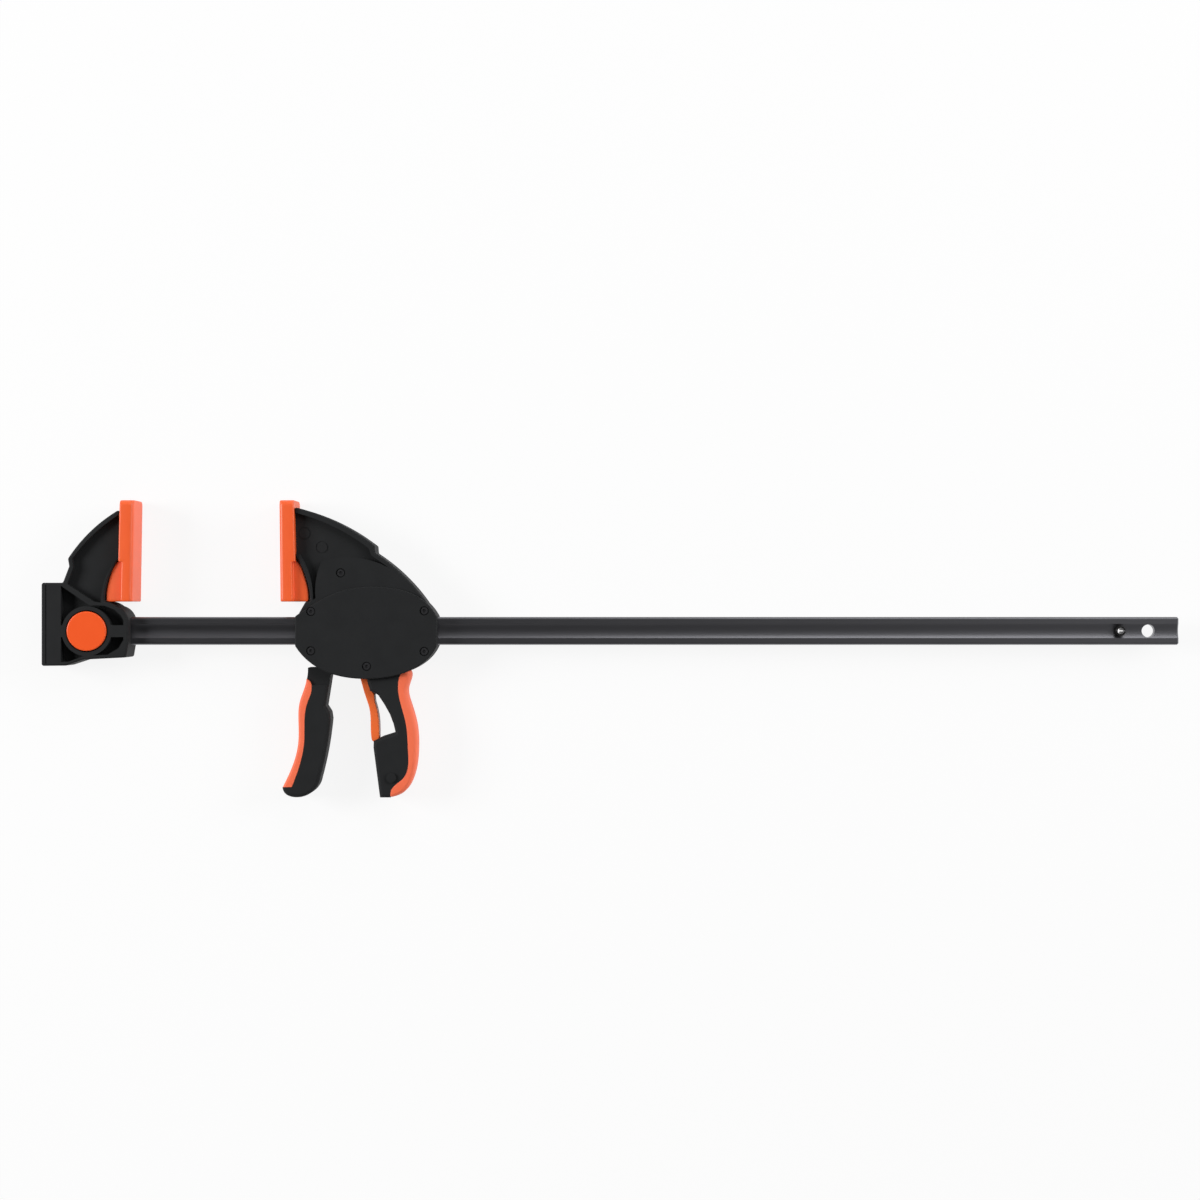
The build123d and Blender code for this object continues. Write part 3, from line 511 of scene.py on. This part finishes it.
def finish_material(name, colour, shade, mottle_mm, roughness, rough_swing, grain_mm, grain_depth_mm,
                    stretch=(1, 1, 1), **principled):
    """A moulded or drawn surface. Broad noise mottles between colour and shade, a finer one
    moves the roughness, and the finest stands up as grain, stretched along the piece."""
    material = bpy.data.materials.new(name)
    material.use_nodes = True
    tree = material.node_tree
    tree.nodes.clear()
    where = add_node(tree, "ShaderNodeTexCoord").outputs["Object"]
    drawn = add_node(tree, "ShaderNodeMapping", {"Vector": where, "Scale": stretch}).outputs[0]
    broad = add_node(tree, "ShaderNodeTexNoise", {
        "Vector": drawn, "Scale": per_mm(mottle_mm), "Detail": 3.0,
    })
    tone = add_node(tree, "ShaderNodeMix", {
        0: broad.outputs["Fac"], 6: linear(shade), 7: linear(colour),
    }, data_type="RGBA")
    fine = add_node(tree, "ShaderNodeTexNoise", {
        "Vector": drawn, "Scale": per_mm(grain_mm), "Detail": 2.0,
    })
    rough = add_node(tree, "ShaderNodeMapRange", {
        "Value": fine.outputs["Fac"],
        "To Min": roughness - rough_swing, "To Max": roughness + rough_swing,
    })
    bump = add_node(tree, "ShaderNodeBump", {
        "Height": fine.outputs["Fac"], "Distance": grain_depth_mm * MM, "Strength": 1.0,
    })
    shader = add_node(tree, "ShaderNodeBsdfPrincipled", {
        "Base Color": tone.outputs[2], "Roughness": rough.outputs[0], "Normal": bump.outputs[0],
        **principled,
    })
    add_node(tree, "ShaderNodeOutputMaterial", {"Surface": shader.outputs[0]})
    print("material:", name)
    return material


def wear(material, *pieces):
    """Give the pieces, CAD nodes or new ones, this one material."""
    for piece in pieces:
        mesh = (nodes[piece] if isinstance(piece, str) else piece).data
        mesh.materials.clear()
        mesh.materials.append(material)


# %% [markdown]
# The mouldings are glass-filled nylon from a spark-eroded mould: nearly black, with a fine
# even grain that breaks up any reflection. Such grain is about a tenth of a millimetre wide,
# too fine to show, so it is drawn some five times as coarse.

# %% Black nylon
nylon = finish_material(
    "moulded_black_nylon", "#262728", "#1F2021", mottle_mm=14, roughness=0.66, rough_swing=0.08,
    grain_mm=0.55, grain_depth_mm=0.05, **{"IOR": 1.53, "Specular IOR Level": 0.15},
)
wear(nylon, "fixed_jaw", "housing_cover", "housing_base", "trigger", "lock_pin_carrier")

# %% [markdown]
# Pads and skins are moulded thermoplastic rubber. The pads are smooth and a little shiny; the
# skins are textured for the hand, so they look paler and duller.

# %% Orange rubbers
pad_rubber = finish_material(
    "moulded_orange_rubber", "#FF6629", "#F85E24", mottle_mm=18, roughness=0.44, rough_swing=0.06,
    grain_mm=0.6, grain_depth_mm=0.02, **{"IOR": 1.49, "Specular IOR Level": 0.7},
)
wear(pad_rubber, *pads)
skin_rubber = finish_material(
    "overmoulded_orange_rubber", "#FF7850", "#FF6F47", mottle_mm=12, roughness=0.6, rough_swing=0.06,
    grain_mm=0.45, grain_depth_mm=0.03, **{"IOR": 1.49},
)
wear(skin_rubber, grip_skin, trigger_skin)

# %% [markdown]
# The button and the release lever are moulded in acetal, a hard and slippery plastic: the same
# orange, but with a satin sheen and hardly any grain.

# %% Orange acetal
button_acetal = finish_material(
    "moulded_orange_acetal", "#FF5F22", "#FB591D", mottle_mm=20, roughness=0.38, rough_swing=0.05,
    grain_mm=0.5, grain_depth_mm=0.012, **{"IOR": 1.48},
)
wear(button_acetal, "release_button")
lever_acetal = finish_material(
    "moulded_lever_acetal", "#FF7638", "#FB6F31", mottle_mm=16, roughness=0.4, rough_swing=0.05,
    grain_mm=0.5, grain_depth_mm=0.012, **{"IOR": 1.48},
)
wear(lever_acetal, "release_lever")

# %% [markdown]
# The bar is cold-drawn steel with a thin dark satin finish. Drawing leaves faint lines along
# its length, so its noise is stretched forty times along the bar.

# %% The bar's steel
bar_coat = finish_material(
    "satin_blackened_steel", "#77777B", "#6F6F73", mottle_mm=9, roughness=0.34, rough_swing=0.05,
    grain_mm=0.5, grain_depth_mm=0.005, stretch=(0.025, 1, 1), **{"Metallic": 1.0},
)
wear(bar_coat, "bar")

# %% [markdown]
# Inside, the pins are phosphated, a dark grey that holds oil. The plates that grip the bar are
# hardened and ground across, so their fine lines run from edge to edge, and the springs are
# bright drawn wire.

# %% Steels inside
pin_steel = finish_material(
    "phosphated_spring_steel", "#5C5C60", "#4A4A4E", mottle_mm=5, roughness=0.32, rough_swing=0.08,
    grain_mm=0.3, grain_depth_mm=0.006, **{"Metallic": 1.0},
)
wear(pin_steel, "lock_pin", "trigger_pivot_pin", "release_pivot_sleeve", "drive_pin")
plate_steel = finish_material(
    "ground_hardened_steel", "#8B8B8E", "#77777B", mottle_mm=6, roughness=0.34, rough_swing=0.1,
    grain_mm=0.35, grain_depth_mm=0.01, stretch=(1, 0.08, 1), **{"Metallic": 1.0},
)
wear(plate_steel, "drive_plate_front", "drive_plate_rear", "brake_plate_front", "brake_plate_rear")
spring_wire = finish_material(
    "drawn_spring_wire", "#9A9A9E", "#85858A", mottle_mm=4, roughness=0.28, rough_swing=0.08,
    grain_mm=0.3, grain_depth_mm=0.004, **{"Metallic": 1.0},
)
wear(spring_wire, drive_spring, brake_spring, button_spring)

# %% [markdown]
# Screws and stop pin are blackened in a hot salt bath. The film is so thin that metal still
# shines through it. The stop pin's colour is darker still: painted shade for the shadow in its hole.

# %% Blackened steels
screw_oxide = finish_material(
    "black_oxide_steel", "#454547", "#38383A", mottle_mm=3, roughness=0.42, rough_swing=0.1,
    grain_mm=0.3, grain_depth_mm=0.008, **{"Metallic": 0.7},
)
wear(screw_oxide, screws, "carrier_screws")
# painted shade: the stop pin's near-black colour stands in for the shadow round it in the bar's hole
stop_pin_painted_shade = finish_material(
    "blackened_steel_painted_shade", "#1C1B1B", "#121212", mottle_mm=3, roughness=0.4, rough_swing=0.1,
    grain_mm=0.3, grain_depth_mm=0.008, **{"Metallic": 0.6},
)
wear(stop_pin_painted_shade, "stop_pin")

# %% [markdown]
# ## Studio
# The clamp lies on a white table that washes out to plain white for the camera, yet still
# takes a soft shadow. More lamps would wash it out too, but they would bleach the clamp with
# it. Instead the floor glows a little, for camera and reflections only: they see the glow
# through Light Path, while every other ray meets plain white paper.

# %% Floor
FLOOR_HALF = 4.0
FLOOR_DROP = 0.0004  # a hair below the clamp, so that the two never share a plane
SHADOW_KEPT = 0.12  # share of the floor's own shading that the camera still sees

floor_mesh = bpy.data.meshes.new("floor")
floor_mesh.from_pydata(
    [(x * FLOOR_HALF, y * FLOOR_HALF, -FLOOR_DROP) for x, y in [(-1, -1), (1, -1), (1, 1), (-1, 1)]],
    [], [(0, 1, 2, 3)],
)
floor = bpy.data.objects.new("floor", floor_mesh)
bpy.context.scene.collection.objects.link(floor)
print("floor:", 2 * FLOOR_HALF, "m square")

# %% Washed-out white for the floor
white = bpy.data.materials.new("washed_out_white")
white.use_nodes = True
tree = white.node_tree
tree.nodes.clear()
rays = add_node(tree, "ShaderNodeLightPath").outputs


def reckon(operation, first, second):
    """Output of a maths node of two terms, each a number or another node's output."""
    return add_node(tree, "ShaderNodeMath", {0: first, 1: second}, operation=operation).outputs[0]


seen = reckon("MAXIMUM", rays["Is Camera Ray"], rays["Is Glossy Ray"])
seen = reckon("MAXIMUM", seen, rays["Is Transmission Ray"])
washed = reckon("MULTIPLY", seen, 1 - SHADOW_KEPT)
paper = add_node(tree, "ShaderNodeBsdfDiffuse", {"Color": linear("#FAFAFA")})
glow = add_node(tree, "ShaderNodeEmission", {"Color": (1, 1, 1, 1), "Strength": 1.0})
mixed = add_node(tree, "ShaderNodeMixShader", {0: washed, 1: paper.outputs[0], 2: glow.outputs[0]})
add_node(tree, "ShaderNodeOutputMaterial", {"Surface": mixed.outputs[0]})
floor_mesh.materials.append(white)
print("share of the floor's shading that is kept:", SHADOW_KEPT)

# %% [markdown]
# The room is bright round the horizon and dimmer overhead, so dark surfaces that face up stay
# dark. With x, y, z the direction looked in, its brightness is zenith + rim (1 - z)^3 + far y z
# + tail x z.

# %% Room
ZENITH_LEVEL, RIM_LEVEL, FAR_LEVEL, TAIL_LEVEL = 0.13, 0.84, 0.4, 0.5

world = bpy.data.worlds.new("bright_room")
bpy.context.scene.world = world
world.use_nodes = True
tree = world.node_tree
tree.nodes.clear()
way = add_node(tree, "ShaderNodeTexCoord").outputs["Generated"]
along_x, along_y, up = add_node(tree, "ShaderNodeSeparateXYZ", {0: way}).outputs
above = reckon("MAXIMUM", up, 0.0)
rim_light = reckon("MULTIPLY", reckon("POWER", reckon("SUBTRACT", 1.0, above), 3.0), RIM_LEVEL)
far_light = reckon("MULTIPLY", reckon("MULTIPLY", reckon("MAXIMUM", along_y, 0.0), above), FAR_LEVEL)
tail_light = reckon("MULTIPLY", reckon("MULTIPLY", along_x, above), TAIL_LEVEL)
level = reckon("ADD", reckon("ADD", rim_light, far_light), reckon("ADD", tail_light, ZENITH_LEVEL))
room = add_node(tree, "ShaderNodeBackground", {"Color": (1, 1, 1, 1), "Strength": level})
add_node(tree, "ShaderNodeOutputWorld", {"Surface": room.outputs[0]})
print("room:", ZENITH_LEVEL, "overhead,", ZENITH_LEVEL + RIM_LEVEL, "at the horizon")

# %% [markdown]
# Three soft lamps stand low beyond the bar's two ends and behind the jaw tips. From there they
# don't mirror in faces that look up, which stay dark. Only edges that turn towards a lamp
# catch its light.

# %% Lamps
def lamp(name, place, size, power):
    """A square area lamp at place, turned so that its face looks at the middle of the clamp."""
    light = bpy.data.lights.new(name, "AREA")
    light.size = size
    light.energy = power
    piece = bpy.data.objects.new(name, light)
    bpy.context.scene.collection.objects.link(piece)
    piece.location = place
    piece.rotation_euler = (-Vector(place)).to_track_quat("-Z", "Y").to_euler()
    print(f"lamp {name}: {power} W, {piece.location.length:.2f} m away")


lamp("head_end", (-3.2, 0.6, 1.9), size=1.4, power=98)
lamp("tail_end", (2.4, 0.9, 1.5), size=1.2, power=34)
lamp("far_side", (0.6, 1.6, 1.2), size=1.2, power=7)

# %% [markdown]
# ## Camera
# The clamp is seen square from above, from far enough away that it hardly tapers.

# %% Camera
camera_data = bpy.data.cameras.new("camera")
camera_data.lens = 62.5
camera_data.sensor_width = 36.0
camera = bpy.data.objects.new("camera", camera_data)
camera.location = placed((369.6, 24.7, 1667.0))
bpy.context.scene.collection.objects.link(camera)
bpy.context.scene.camera = camera
bpy.context.scene.view_settings.view_transform = "Standard"
print("camera at", [round(x, 3) for x in camera.location])
